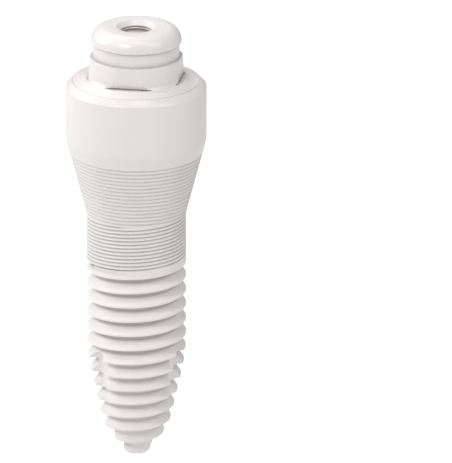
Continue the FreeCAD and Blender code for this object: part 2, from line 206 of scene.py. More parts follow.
class ImplantSizes(bpy.types.PropertyGroup):
    """Sizes of the grooves and threads."""

    lead: bpy.props.FloatProperty(
        name="Lead", description="Rise of both threads in one turn", default=0.605 * MM, subtype="DISTANCE",
        unit="LENGTH", precision=6)
    thread_depth: bpy.props.FloatProperty(
        name="Thread depth", description="Depth of the main thread on the cylinder", default=0.35 * MM,
        subtype="DISTANCE", unit="LENGTH", precision=6)
    thread_level: bpy.props.FloatProperty(
        name="Thread level", description="Height of the first crest's lower edge at its facing",
        default=-4.895 * MM, subtype="DISTANCE", unit="LENGTH", precision=6)
    thread_facing: bpy.props.FloatProperty(
        name="Thread facing", description="Direction in which the thread has that level",
        default=math.radians(-80.4), subtype="ANGLE", unit="ROTATION")
    micro_depth: bpy.props.FloatProperty(
        name="Micro-thread depth", description="Depth of the fine thread under the neck",
        default=0.048 * MM, subtype="DISTANCE", unit="LENGTH", precision=6)
    micro_starts: bpy.props.IntProperty(
        name="Micro-thread starts", description="How many fine grooves run side by side", default=4, min=1)
    ring_count: bpy.props.IntProperty(
        name="Ring grooves", description="Closed grooves down the tapered neck", default=16, min=1)
    ring_pitch: bpy.props.FloatProperty(
        name="Ring pitch", description="Distance between ring grooves", default=0.165 * MM,
        subtype="DISTANCE", unit="LENGTH", precision=6)
    ring_depth: bpy.props.FloatProperty(
        name="Ring depth", description="Depth of a ring groove", default=0.045 * MM, subtype="DISTANCE",
        unit="LENGTH", precision=6)
    flute_count: bpy.props.IntProperty(
        name="Flutes", description="Cutting flutes at the tapered end", default=3, min=1)
    flute_facing: bpy.props.FloatProperty(
        name="Flute facing", description="Direction of the first flute", default=math.radians(223.6),
        subtype="ANGLE", unit="ROTATION")
    screw_pitch: bpy.props.FloatProperty(
        name="Screw pitch", description="Pitch of the tapped hole", default=0.35 * MM, subtype="DISTANCE",
        unit="LENGTH", precision=6)


class ImplantColours(bpy.types.PropertyGroup):
    """Colours of the finishes."""

    ceramic: bpy.props.FloatVectorProperty(
        name="Ceramic", description="Warm white of the fired ceramic", default=(0.85, 0.817, 0.812),
        size=3, min=0, max=1, subtype="COLOR")
    ceramic_rough: bpy.props.FloatVectorProperty(
        name="Blasted ceramic", description="The same ceramic where it is blasted",
        default=(0.87, 0.834, 0.829), size=3, min=0, max=1, subtype="COLOR")
    titanium: bpy.props.FloatVectorProperty(
        name="Titanium", description="Brownish grey metal of the insert", default=(0.74, 0.67, 0.64),
        size=3, min=0, max=1, subtype="COLOR")
    floor: bpy.props.FloatVectorProperty(
        name="Floor", description="Pale studio floor", default=(0.85, 0.85, 0.85), size=3, min=0, max=1,
        subtype="COLOR")


class Signal:
    """A number that a node tree works out, written as an ordinary expression."""

    def __init__(self, tree, socket):
        self.tree = tree
        self.socket = socket

    def work(self, operation, *others, reverse=False):
        """A Math node on this number and the others."""
        node = self.tree.nodes.new("ShaderNodeMath")
        node.operation = operation
        items = [self, *others]
        if reverse:
            items.reverse()
        for slot, item in zip(node.inputs, items):
            if isinstance(item, Signal):
                self.tree.links.new(item.socket, slot)
            else:
                slot.default_value = item
        return Signal(self.tree, node.outputs[0])

    def __add__(self, other):
        return self.work("ADD", other)

    def __sub__(self, other):
        return self.work("SUBTRACT", other)

    def __rsub__(self, other):
        return self.work("SUBTRACT", other, reverse=True)

    def __mul__(self, other):
        return self.work("MULTIPLY", other)

    def __truediv__(self, other):
        return self.work("DIVIDE", other)

    def at_least(self, other):
        return self.work("MAXIMUM", other)

    def at_most(self, other):
        return self.work("MINIMUM", other)

    def held(self):
        """This number kept between 0 and 1."""
        return self.at_least(0).at_most(1)

    def above(self, other):
        """1 where this number is greater, 0 elsewhere."""
        return self.work("GREATER_THAN", other)


class Tree:
    """A node tree with one way to add any node."""

    def __init__(self, tree):
        self.tree = tree

    def add(self, kind, settings=None, **values):
        """A node with its settings made first, then its sockets' values or links."""
        node = self.tree.nodes.new(kind)
        for name, setting in (settings or {}).items():
            setattr(node, name, setting)
        for name, item in values.items():
            slot = node.inputs[int(name[1:])] if name[0] == "i" and name[1:].isdigit() else node.inputs[name]
            self.feed(slot, item)
        return node

    def feed(self, slot, item):
        """Set a socket's value, or link it to a node's output or a Signal."""
        if isinstance(item, Signal):
            self.tree.links.new(item.socket, slot)
        elif isinstance(item, bpy.types.NodeSocket):
            self.tree.links.new(item, slot)
        else:
            slot.default_value = item

    def signal(self, socket):
        return Signal(self.tree, socket)


class ShapeTree(Tree):
    """A Geometry Nodes tree with named inputs."""

    KINDS = {float: "NodeSocketFloat", int: "NodeSocketInt", bpy.types.Material: "NodeSocketMaterial"}

    def __init__(self, name, **inputs):
        super().__init__(bpy.data.node_groups.new(name, "GeometryNodeTree"))
        face = self.tree.interface
        face.new_socket("Geometry", in_out="INPUT", socket_type="NodeSocketGeometry")
        face.new_socket("Geometry", in_out="OUTPUT", socket_type="NodeSocketGeometry")
        self.given = {}
        for title, given in inputs.items():
            kind = "NodeSocketMaterial" if isinstance(given, bpy.types.Material) else self.KINDS[type(given)]
            item = face.new_socket(title.replace("_", " "), in_out="INPUT", socket_type=kind)
            self.given[item.identifier] = given
            setattr(self, title, item.identifier)
        self.entry = self.tree.nodes.new("NodeGroupInput")
        self.exit = self.tree.nodes.new("NodeGroupOutput")
        for title in inputs:
            identifier = getattr(self, title)
            socket = next(item for item in self.entry.outputs if item.identifier == identifier)
            plain = isinstance(inputs[title], (int, float))
            setattr(self, title, self.signal(socket) if plain else socket)

    def finish(self, geometry, material):
        """End in Realize Instances and Set Material."""
        real = self.add("GeometryNodeRealizeInstances", i0=geometry)
        painted = self.add("GeometryNodeSetMaterial", i0=real.outputs[0])
        self.feed(painted.inputs["Material"], material)
        self.tree.links.new(painted.outputs[0], self.exit.inputs[0])

    def apply(self, piece):
        """Run the tree on a piece and keep the result as its mesh."""
        modifier = piece.modifiers.new(self.tree.name, "NODES")
        modifier.node_group = self.tree
        for identifier, given in self.given.items():
            modifier[identifier] = given
        graph = bpy.context.evaluated_depsgraph_get()
        mesh = bpy.data.meshes.new_from_object(piece.evaluated_get(graph), depsgraph=graph)
        mesh.name = piece.name
        for slot in reversed(range(len(mesh.materials))):
            if mesh.materials[slot] is None:
                mesh.materials.pop(index=slot)
        piece.modifiers.clear()
        piece.data = mesh
        if not mesh.polygons:
            raise RuntimeError(f"{piece.name} came out empty")


def arc(start, end, radius, turn):
    """Points after start up to end on an arc, turning anticlockwise for +1 in a radius and height plane."""
    a = Vector(start)
    b = Vector(end)
    chord = b - a
    side = Vector((-chord.y, chord.x)).normalized() * turn
    centre = (a + b) / 2 + side * math.sqrt(max(radius**2 - (chord.length / 2) ** 2, 0))
    first = math.atan2(a.y - centre.y, a.x - centre.x)
    sweep = math.atan2(b.y - centre.y, b.x - centre.x) - first
    sweep = (sweep * turn) % (2 * math.pi) * turn
    count = max(2, math.ceil(abs(sweep) / ARC_STEP))
    angles = [first + sweep * step / count for step in range(1, count)]
    points = [(centre.x + radius * math.cos(angle), centre.y + radius * math.sin(angle)) for angle in angles]
    return points + [tuple(b)]


def eased(outline, radius):
    """The outline with each inner corner cut by a small round of three points."""
    points = [outline[0]]
    for before, here, after in zip(outline, outline[1:], outline[2:]):
        into = Vector(here) - Vector(before)
        out = Vector(after) - Vector(here)
        bend = into.angle(out, 0)
        reach = min(radius * math.tan(bend / 2), into.length * EASE_SHARE, out.length * EASE_SHARE)
        if bend < EASE_BEND or reach < NO_LENGTH:
            points.append(here)
            continue
        low = Vector(here) - into.normalized() * reach
        high = Vector(here) + out.normalized() * reach
        middle = (low + high) / 4 + Vector(here) / 2
        points += [tuple(low), tuple(middle), tuple(high)]
    return points + [outline[-1]]


def lathe(piece_name, outlines):
    """A mesh of outlines, each a list of radius and height, turned about the Z axis."""
    shape = bmesh.new()
    for outline in outlines:
        rows = []
        for radius, height in outline:
            if radius < NO_RADIUS:
                rows.append([shape.verts.new((0, 0, height))] * STEPS)
                continue
            angles = [2 * math.pi * step / STEPS for step in range(STEPS)]
            rows.append([
                shape.verts.new((radius * math.cos(angle), radius * math.sin(angle), height))
                for angle in angles
            ])
        for low, high in zip(rows, rows[1:]):
            for step in range(STEPS):
                after = (step + 1) % STEPS
                corners = [low[step], low[after], high[after], high[step]]
                shape.faces.new(list(dict.fromkeys(corners)))
    mesh = bpy.data.meshes.new(piece_name)
    shape.to_mesh(mesh)
    shape.free()
    piece = bpy.data.objects.new(piece_name, mesh)
    bpy.context.scene.collection.objects.link(piece)
    return piece


def root_wall(height):
    """Radius of cylinder, tapered end, nose and rounded tip at a height, without grooves, as nodes."""
    cone = CYLINDER - (CONE_TOP - height) * math.tan(TAPER_ANGLE)
    body = cone.work("SMOOTH_MIN", CYLINDER, BLEND_RUN * math.tan(TAPER_ANGLE))
    drop = NOSE_CENTRE - height
    nose = (NOSE_RADIUS**2 - drop * drop).at_least(0).work("SQRT") + NOSE_CENTRE_RADIUS
    fall = (TIP + TIP_ROUND - height).at_least(0)
    tip = (TIP_ROUND**2 - fall * fall).at_least(0).work("SQRT") + (TIP_RADIUS - TIP_ROUND)
    above_nose = height.above(NOSE_TOP)
    above_tip = height.above(NOSE_END)
    return above_nose * body + (above_tip - above_nose) * nose + (1 - above_tip) * tip


def skin_grid(tree, first_turn, turns, rows):
    """A grid of columns round the axis and rows down it, with its turn and row as numbers."""
    columns = turns * STEPS + 1
    grid = tree.add("GeometryNodeMeshGrid", i0=float(columns - 1), i1=float(rows - 1), i2=columns, i3=rows)
    place = tree.add("ShaderNodeSeparateXYZ", i0=tree.add("GeometryNodeInputPosition").outputs[0])
    turn = (tree.signal(place.outputs[0]) + (columns - 1) / 2) / STEPS + first_turn
    row = tree.signal(place.outputs[1]) + (rows - 1) / 2
    return grid, turn, row


def chosen(tree, row, numbers):
    """The number that belongs to a row."""
    switch = tree.tree.nodes.new("GeometryNodeIndexSwitch")
    switch.data_type = "FLOAT"
    while len(switch.index_switch_items) < len(numbers):
        switch.index_switch_items.new()
    tree.feed(switch.inputs[0], (row + 0.5).work("FLOOR"))
    for slot, number in zip(switch.inputs[1:], numbers):
        tree.feed(slot, number)
    return tree.signal(switch.outputs[0])


def wrapped(tree, grid, turn, radius, height, outward=True):
    """Lay a grid round the axis at a radius and height, with its faces outward or towards the axis."""
    angle = turn * (2 * math.pi)
    across = radius * angle.work("COSINE")
    along = radius * angle.work("SINE")
    place = tree.add("ShaderNodeCombineXYZ", i0=across, i1=along, i2=height)
    moved = tree.add("GeometryNodeSetPosition", Geometry=grid.outputs[0], Position=place.outputs[0])
    if outward:
        moved = tree.add("GeometryNodeFlipFaces", Mesh=moved.outputs[0])
    return moved.outputs[0]


# Main thread, from a crest's lower edge down to the next: drop in millimetres and share of the depth.
THREAD_ROWS = [
    (0.000, 0.0), (0.004, 0.05), (0.030, 0.92), (0.045, 0.985), (0.065, 1.0), (0.150, 1.0),
    (0.185, 0.965), (0.202, 0.93), (0.220, 0.89), (0.400, 0.430), (0.524, 0.035), (0.540, 0.0),
    (0.605, 0.0),
]

# Its run-outs: turns over which it fades at the top and the tip, and turns that it rises in all.
THREAD_FADE = 110 / 360
THREAD_RISE = 370 / 360
TIP_FADE = 75 / 360

# Height of the plain tip under the thread, and the heights over which threads fade at their ends.
TIP_PLAIN = TIP + 0.28 * MM
TIP_RUN = 0.14 * MM
LAND_FADE = 0.012 * MM
FADE = 0.04 * MM

# Small grooves: flat share of half a mouth, depth at its edges, and half a ring's mouth in pitches.
GROOVE_FLAT = 0.15
MICRO_SHOULDER = 0.90
RING_SHOULDER = 0.92
RING_MOUTH = 0.38
MICRO_HALF = 0.044 * MM
MICRO_BOTTOM = -4.520 * MM
MICRO_FACING = math.radians(-89.4)

# Thread of the tapped hole: drop as a share of the pitch, and share of the depth.
SCREW_ROWS = [(0.0, 0.0), (0.44, 1.0), (0.56, 1.0), (0.88, 0.0), (1.0, 0.0)]


def land_at(turn):
    """Height of the tilted edge between the fine thread and the main thread."""
    angle = turn * (2 * math.pi) - math.radians(VIEW_AZIMUTH)
    return angle.work("COSINE") * LAND_TILT + LAND


def main_skin(tree):
    """The tapered end with the main thread on it."""
    sizes = bpy.context.scene.implant_sizes
    facing = sizes.thread_facing / (2 * math.pi)
    low_turn = math.floor((TIP - sizes.thread_level) / sizes.lead + facing) - 1
    high_turn = math.ceil((LAND + LAND_TILT - sizes.thread_level) / sizes.lead + facing) + 2
    grid, turn, row = skin_grid(tree, low_turn, high_turn - low_turn, len(THREAD_ROWS))
    drop = chosen(tree, row, [down * MM for down, _ in THREAD_ROWS])
    depth = chosen(tree, row, [share for _, share in THREAD_ROWS])
    lifted = tree.Lead * (turn - facing) + tree.Thread_level
    land = land_at(turn)
    height = (lifted - drop).at_least(TIP).at_most(land)
    last = facing + THREAD_RISE
    first = facing - (sizes.thread_level - TIP) / sizes.lead
    share = ((last - turn) / THREAD_FADE).at_most((turn - first) / TIP_FADE).held()
    share = share * ((height - TIP_PLAIN) / TIP_RUN).held() * ((land - height) / LAND_FADE).held()
    wall = root_wall(height)
    scale = (wall / CYLINDER).work("SQRT")
    return wrapped(tree, grid, turn, wall - tree.Thread_depth * depth * share * scale, height)


def micro_skin(tree):
    """The cylinder under the neck with the fine thread on it."""
    sizes = bpy.context.scene.implant_sizes
    pitch = sizes.lead / sizes.micro_starts
    rows = []
    for start in range(sizes.micro_starts):
        top = start * pitch
        rows += [(top, 0.0), (top + (1 - GROOVE_FLAT) * MICRO_HALF, MICRO_SHOULDER)]
        rows += [(top + MICRO_HALF, 1.0), (top + (1 + GROOVE_FLAT) * MICRO_HALF, MICRO_SHOULDER)]
        rows.append((top + 2 * MICRO_HALF, 0.0))
    rows.append((sizes.lead, 0.0))
    facing = MICRO_FACING / (2 * math.pi)
    turns = math.ceil((NECK_FOOT - MICRO_BOTTOM) / sizes.lead) + 4
    grid, turn, row = skin_grid(tree, -2, turns, len(rows))
    drop = chosen(tree, row, [down for down, _ in rows])
    depth = chosen(tree, row, [share for _, share in rows])
    lifted = tree.Lead * (turn - facing) + (MICRO_BOTTOM + MICRO_HALF)
    land = land_at(turn)
    height = (lifted - drop).at_least(land).at_most(NECK_FOOT)
    share = ((height - land) / LAND_FADE).held() * ((NECK_FOOT - height) / FADE).held()
    radius = CYLINDER - tree.Micro_depth * depth * share
    return wrapped(tree, grid, turn, radius, height)


def ring_half():
    """Half the height of a ring groove's mouth."""
    return RING_MOUTH * bpy.context.scene.implant_sizes.ring_pitch


def ring_skin(tree):
    """The tapered neck with its closed ring grooves."""
    sizes = bpy.context.scene.implant_sizes
    half = ring_half()
    rows = [(-RING_START - 2 * half, 0.0)]
    for ring in range(sizes.ring_count):
        middle = ring * sizes.ring_pitch - RING_START
        rows += [(middle - half, 0.0), (middle - GROOVE_FLAT * half, RING_SHOULDER), (middle, 1.0)]
        rows += [(middle + GROOVE_FLAT * half, RING_SHOULDER), (middle + half, 0.0)]
    rows.append((-NECK_FOOT, 0.0))
    grid, turn, row = skin_grid(tree, 0, 1, len(rows))
    height = 0 - chosen(tree, row, [down for down, _ in rows])
    depth = chosen(tree, row, [share for _, share in rows])
    neck = (height - NECK_FOOT) * math.tan(NECK_ANGLE) + CYLINDER
    return wrapped(tree, grid, turn, neck - tree.Ring_depth * depth, height)


def flute_cutters(tree):
    """Balls drawn out downwards into round cutters, side by side with the axis."""
    sizes = bpy.context.scene.implant_sizes
    ball = tree.add("GeometryNodeMeshUVSphere", Segments=64, Rings=32, Radius=FLUTE_RADIUS)
    place = tree.add("GeometryNodeInputPosition")
    height = tree.signal(tree.add("ShaderNodeSeparateXYZ", i0=place.outputs[0]).outputs[2])
    lower_half = (0 - height).above(0.01 * FLUTE_RADIUS)
    fall = lower_half * (TIP - FLUTE_END)
    drawn = tree.add(
        "GeometryNodeSetPosition", Geometry=ball.outputs[0],
        Offset=tree.add("ShaderNodeCombineXYZ", i2=fall).outputs[0])
    across = FLUTE_FLOOR + FLUTE_RADIUS
    tools = []
    for flute in range(sizes.flute_count):
        angle = sizes.flute_facing + 2 * math.pi * flute / sizes.flute_count
        place = (across * math.cos(angle), across * math.sin(angle), FLUTE_END)
        tools.append(tree.add("GeometryNodeTransform", i0=drawn.outputs[0], Translation=place).outputs[0])
    return tools


def smooth(tree, geometry, angle):
    """Smooth faces with sharp edges where the surface bends by more than an angle."""
    bend = tree.signal(tree.add("GeometryNodeInputMeshEdgeAngle").outputs["Unsigned Angle"])
    faces = tree.add("GeometryNodeSetShadeSmooth", {"domain": "FACE"}, Geometry=geometry)
    faces.inputs["Shade Smooth"].default_value = True
    edges = tree.add("GeometryNodeSetShadeSmooth", {"domain": "EDGE"}, Geometry=faces.outputs[0])
    tree.feed(edges.inputs["Shade Smooth"], 1 - bend.above(angle))
    return edges.outputs[0]


def ceramic(name, colour, roughness, blasted=None, blasted_roughness=None):
    """Fired ceramic with painted shade darkening its corners, and blasted low down where a second colour is
    given.
    """
    material = bpy.data.materials.new(name)
    material.use_nodes = True
    nodes = Tree(material.node_tree)
    shader = material.node_tree.nodes["Principled BSDF"]
    shader.inputs["IOR"].default_value = 1.7
    shader.inputs["Specular IOR Level"].default_value = 0.35
    place = nodes.add("ShaderNodeTexCoord").outputs["Object"]
    grain = nodes.add("ShaderNodeTexNoise", Vector=place, Scale=GRIT_SCALE, Detail=4.0, Roughness=0.6)
    cloud = nodes.add("ShaderNodeTexNoise", Vector=place, Scale=CLOUD_SCALE, Detail=2.0)
    tint = (nodes.signal(cloud.outputs["Fac"]) - 0.5) * 0.35 + 0.15
    warm = [channel * factor for channel, factor in zip(colour, WARM_TINT)]
    base = nodes.add("ShaderNodeMix", {"data_type": "RGBA"}, i0=tint.held())
    base.inputs[6].default_value = (*colour, 1)
    base.inputs[7].default_value = (*warm, 1)
    finish = base.outputs[2]
    gloss = (nodes.signal(grain.outputs["Fac"]) - 0.5) * 0.10 + roughness
    if blasted:
        height = nodes.signal(nodes.add("ShaderNodeSeparateXYZ", i0=place).outputs[2])
        below = ((BLAST_LEVEL - height) / BLAST_RUN + 0.5).held()
        lower = nodes.add("ShaderNodeMix", {"data_type": "RGBA"}, i0=below)
        nodes.feed(lower.inputs[6], finish)
        lower.inputs[7].default_value = (*blasted, 1)
        finish = lower.outputs[2]
        gloss = gloss + below * (blasted_roughness - roughness)
        grit = nodes.signal(grain.outputs["Fac"]) * below
        bump = nodes.add("ShaderNodeBump", Strength=0.25, Distance=0.004 * MM)
        nodes.feed(bump.inputs["Height"], grit)
    else:
        bump = nodes.add("ShaderNodeBump", Strength=0.08, Distance=0.002 * MM)
        nodes.feed(bump.inputs["Height"], nodes.signal(grain.outputs["Fac"]))
    # Painted shade: ambient occlusion darkens the base colour in corners, grooves and under thread crests,
    # where shade falls.
    corner = nodes.add("ShaderNodeAmbientOcclusion", {"samples": 8}, Distance=PAINTED_SHADE_REACH)
    painted_shade_open = ((nodes.signal(corner.outputs["AO"]) - PAINTED_SHADE_LOW) / (1 - PAINTED_SHADE_LOW)).held()
    painted_shade_mix = nodes.add("ShaderNodeMix", {"data_type": "RGBA"}, i0=painted_shade_open)
    painted_shade_mix.inputs[6].default_value = (*(channel * PAINTED_SHADE_FACTOR for channel in colour), 1)
    nodes.feed(painted_shade_mix.inputs[7], finish)
    nodes.feed(shader.inputs["Base Color"], painted_shade_mix.outputs[2])
    nodes.feed(shader.inputs["Roughness"], gloss)
    nodes.feed(shader.inputs["Normal"], bump.outputs[0])
    return material


def turned_metal(name, colour):
    """Titanium with the fine rings of turning."""
    material = bpy.data.materials.new(name)
    material.use_nodes = True
    nodes = Tree(material.node_tree)
    shader = material.node_tree.nodes["Principled BSDF"]
    shader.inputs["Metallic"].default_value = 0.35
    place = nodes.add("ShaderNodeTexCoord").outputs["Object"]
    height = nodes.add("ShaderNodeSeparateXYZ", i0=place).outputs[2]
    line = nodes.add("ShaderNodeCombineXYZ", i2=height)
    rings = nodes.add("ShaderNodeTexNoise", Vector=line.outputs[0], Scale=TURNING_SCALE, Detail=3.0)
    cloud = nodes.add("ShaderNodeTexNoise", Vector=place, Scale=STAIN_SCALE, Detail=2.0)
    dark = [channel * STAIN_SHADE for channel in colour]
    base = nodes.add("ShaderNodeMix", {"data_type": "RGBA"}, i0=nodes.signal(cloud.outputs["Fac"]))
    base.inputs[6].default_value = (*colour, 1)
    base.inputs[7].default_value = (*dark, 1)
    nodes.feed(shader.inputs["Base Color"], base.outputs[2])
    nodes.feed(shader.inputs["Roughness"], nodes.signal(rings.outputs["Fac"]) * 0.25 + 0.3)
    bump = nodes.add("ShaderNodeBump", Strength=0.2, Distance=0.002 * MM, Height=rings.outputs["Fac"])
    nodes.feed(shader.inputs["Normal"], bump.outputs[0])
    return material


def direction(azimuth, elevation):
    """Unit vector towards a place seen from the object: azimuth from the front to the right, degrees."""
    a = math.radians(azimuth)
    e = math.radians(elevation)
    return Vector((math.sin(a) * math.cos(e), -math.cos(a) * math.cos(e), math.sin(e)))


def settle(piece, node):
    """Give a finished piece its place in the frame."""
    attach(piece, "root")
    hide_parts(node)


class IMPLANT_OT_root(bpy.types.Operator):
    """Make the threaded root with its collar, ring grooves, fine thread, main thread and flutes"""

    bl_idname = "implant.make_root"
    bl_label = "Threaded root"

    def execute(self, context):
        sizes = context.scene.implant_sizes
        colours = context.scene.implant_colours
        finish = ceramic(
            "root_ceramic", colours.ceramic, roughness=0.24, blasted=tuple(colours.ceramic_rough),
            blasted_roughness=0.5)
        neck_corner = NECK_FOOT + (COLLAR - CYLINDER) / math.tan(NECK_ANGLE)
        run = NECK_BLEND * math.tan(NECK_ANGLE / 2)
        neck_top = RING_START + 2 * ring_half()
        blend_low = (COLLAR - run * math.sin(NECK_ANGLE), neck_corner - run * math.cos(NECK_ANGLE))
        blend_high = (COLLAR, neck_corner + run)
        bore_foot = STUD_FOOT - STUD_SPACE
        seat_slope = math.tan(SEAT_ANGLE)
        gap_foot = SEAT_FOOT - FIT_GAP
        upper = [((neck_top - NECK_FOOT) * math.tan(NECK_ANGLE) + CYLINDER, neck_top), blend_low]
        upper += arc(blend_low, blend_high, NECK_BLEND, 1)
        upper += [
            (COLLAR, RIM - BEVEL_HEIGHT),
            (COLLAR - BEVEL_WIDTH, RIM),
            (SEAT_RADIUS, RIM - FUNNEL_DEPTH),
            (SEAT_RADIUS - (SEAT_HEIGHT + FIT_GAP) * seat_slope, gap_foot),
            (GUIDE_RADIUS + FIT_GAP, gap_foot),
            (GUIDE_RADIUS + FIT_GAP, GUIDE_FOOT - FIT_GAP),
            (STUD_RADIUS + FIT_GAP, GUIDE_FOOT - FIT_GAP),
            (STUD_RADIUS + FIT_GAP, bore_foot),
            (0, bore_foot - (STUD_RADIUS + FIT_GAP) / math.tan(DRILL_ANGLE)),
        ]
        lower = [(0, TIP), (TIP_RADIUS - TIP_ROUND, TIP)]
        piece = lathe("threaded_root", [eased(upper, EDGE_ROUND), lower])
        tree = ShapeTree(
            "Threaded root", Lead=sizes.lead, Thread_level=sizes.thread_level,
            Thread_depth=sizes.thread_depth, Micro_depth=sizes.micro_depth, Ring_depth=sizes.ring_depth,
            Finish=finish)
        joined = tree.add("GeometryNodeJoinGeometry")
        for skin in (tree.entry.outputs[0], main_skin(tree), micro_skin(tree), ring_skin(tree)):
            tree.tree.links.new(skin, joined.inputs[0])
        welded = tree.add("GeometryNodeMergeByDistance", i0=joined.outputs[0], Distance=WELD)
        cut = tree.add("GeometryNodeMeshBoolean", {"operation": "DIFFERENCE", "solver": "MANIFOLD"})
        tree.tree.links.new(welded.outputs[0], cut.inputs["Mesh 1"])
        for cutter in flute_cutters(tree):
            tree.tree.links.new(cutter, cut.inputs["Mesh 2"])
        tree.finish(smooth(tree, cut.outputs[0], ROOT_SHARP), tree.Finish)
        tree.apply(piece)
        settle(piece, "implant_body")
        return {"FINISHED"}


class IMPLANT_OT_head(bpy.types.Operator):
    """Make the head with its rounded cap, retention groove, wrench flats and flared skirt"""

    bl_idname = "implant.make_head"
    bl_label = "Head"

    def execute(self, context):
        finish = ceramic("fired_ceramic", context.scene.implant_colours.ceramic, roughness=0.26)
        seat_slope = math.tan(SEAT_ANGLE)
        bevel_edge = COLLAR - BEVEL_WIDTH
        skirt_foot = RIM - FUNNEL_DEPTH * (bevel_edge - SKIRT) / (bevel_edge - SEAT_RADIUS)
        skirt_top = skirt_foot + SKIRT_EDGE
        slope = math.tan(SKIRT_ANGLE)
        lean = math.tan(BASE_ANGLE)
        rise = LEDGE - LEDGE_ROUND - skirt_top - SKIRT * slope
        corner_radius = (BASE_RADIUS + rise * lean) / (1 - slope * lean)
        corner = Vector((corner_radius, skirt_top + (SKIRT - corner_radius) * slope))
        run = SKIRT_FILLET * math.tan((math.pi / 2 - SKIRT_ANGLE - BASE_ANGLE) / 2)
        hollow_low = tuple(corner + run * Vector((math.cos(SKIRT_ANGLE), -math.sin(SKIRT_ANGLE))))
        hollow_high = tuple(corner + run * Vector((-math.sin(BASE_ANGLE), math.cos(BASE_ANGLE))))
        inner = INSERT_RADIUS + CEMENT_GAP
        mouth_foot = CAP_TOP - MOUTH_DEPTH
        outline = [
            (inner, SEAT_FOOT),
            (SEAT_RADIUS - SEAT_HEIGHT * seat_slope, SEAT_FOOT),
            (SEAT_RADIUS, RIM - FUNNEL_DEPTH),
            (SKIRT, skirt_foot),
            (SKIRT, skirt_top),
            hollow_low,
            *arc(hollow_low, hollow_high, SKIRT_FILLET, -1),
            (BASE_RADIUS, LEDGE - LEDGE_ROUND),
            *arc((BASE_RADIUS, LEDGE - LEDGE_ROUND), (BASE_RADIUS - LEDGE_ROUND, LEDGE), LEDGE_ROUND, 1),
            (GROOVE_RADIUS, LEDGE),
            (GROOVE_RADIUS, GROOVE_TOP),
            (CAP_RADIUS - CAP_EDGE, GROOVE_TOP),
            *arc((CAP_RADIUS - CAP_EDGE, GROOVE_TOP), (CAP_RADIUS, GROOVE_TOP + CAP_EDGE), CAP_EDGE, 1),
            (CAP_RADIUS, CAP_TOP - CAP_ROUND),
            *arc((CAP_RADIUS, CAP_TOP - CAP_ROUND), (CAP_RADIUS - CAP_ROUND, CAP_TOP), CAP_ROUND, 1),
            (MOUTH_RADIUS, CAP_TOP),
            (MOUTH_RADIUS - MOUTH_DEPTH, mouth_foot),
            (MOUTH_RADIUS - MOUTH_DEPTH, mouth_foot - MOUTH_LIP),
            (inner, mouth_foot - MOUTH_LIP),
            (inner, SEAT_FOOT),
        ]
        piece = lathe("head", [eased(outline, HEAD_EDGE_ROUND)])
        tree = ShapeTree("Head", Finish=finish)
        welded = tree.add("GeometryNodeMergeByDistance", i0=tree.entry.outputs[0], Distance=WELD)
        high = (LEDGE + GROOVE_TOP) / 2
        reach = SKIRT - FLAT_DISTANCE + FLAT_MARGIN
        wide = 2 * FLAT_DISTANCE
        flat = tree.add("GeometryNodeMeshCube", Size=(reach, wide, high - FLAT_FOOT))
        flat_at = tree.add(
            "GeometryNodeTransform", i0=flat.outputs[0],
            Translation=(FLAT_DISTANCE + reach / 2, 0, (high + FLAT_FOOT) / 2))
        relief = tree.add("GeometryNodeMeshCube", Size=(reach, wide, RELIEF_HEIGHT))
        relief_at = tree.add(
            "GeometryNodeTransform", i0=relief.outputs[0],
            Translation=(FLAT_DISTANCE - RELIEF_DEPTH + reach / 2, 0, FLAT_FOOT + RELIEF_HEIGHT / 2))
        both = tree.add("GeometryNodeMeshBoolean", {"operation": "UNION", "solver": "MANIFOLD"})
        tree.tree.links.new(flat_at.outputs[0], both.inputs["Mesh 2"])
        tree.tree.links.new(relief_at.outputs[0], both.inputs["Mesh 2"])
        cut = tree.add("GeometryNodeMeshBoolean", {"operation": "DIFFERENCE", "solver": "MANIFOLD"})
        tree.tree.links.new(welded.outputs[0], cut.inputs["Mesh 1"])
        for side in range(FLAT_COUNT):
            turned = tree.add(
                "GeometryNodeTransform", i0=both.outputs[0], Rotation=(0, 0, 2 * math.pi * side / FLAT_COUNT))
            tree.tree.links.new(turned.outputs[0], cut.inputs["Mesh 2"])
        tree.finish(smooth(tree, cut.outputs[0], HEAD_SHARP), tree.Finish)
        tree.apply(piece)
        settle(piece, "abutment")
        return {"FINISHED"}


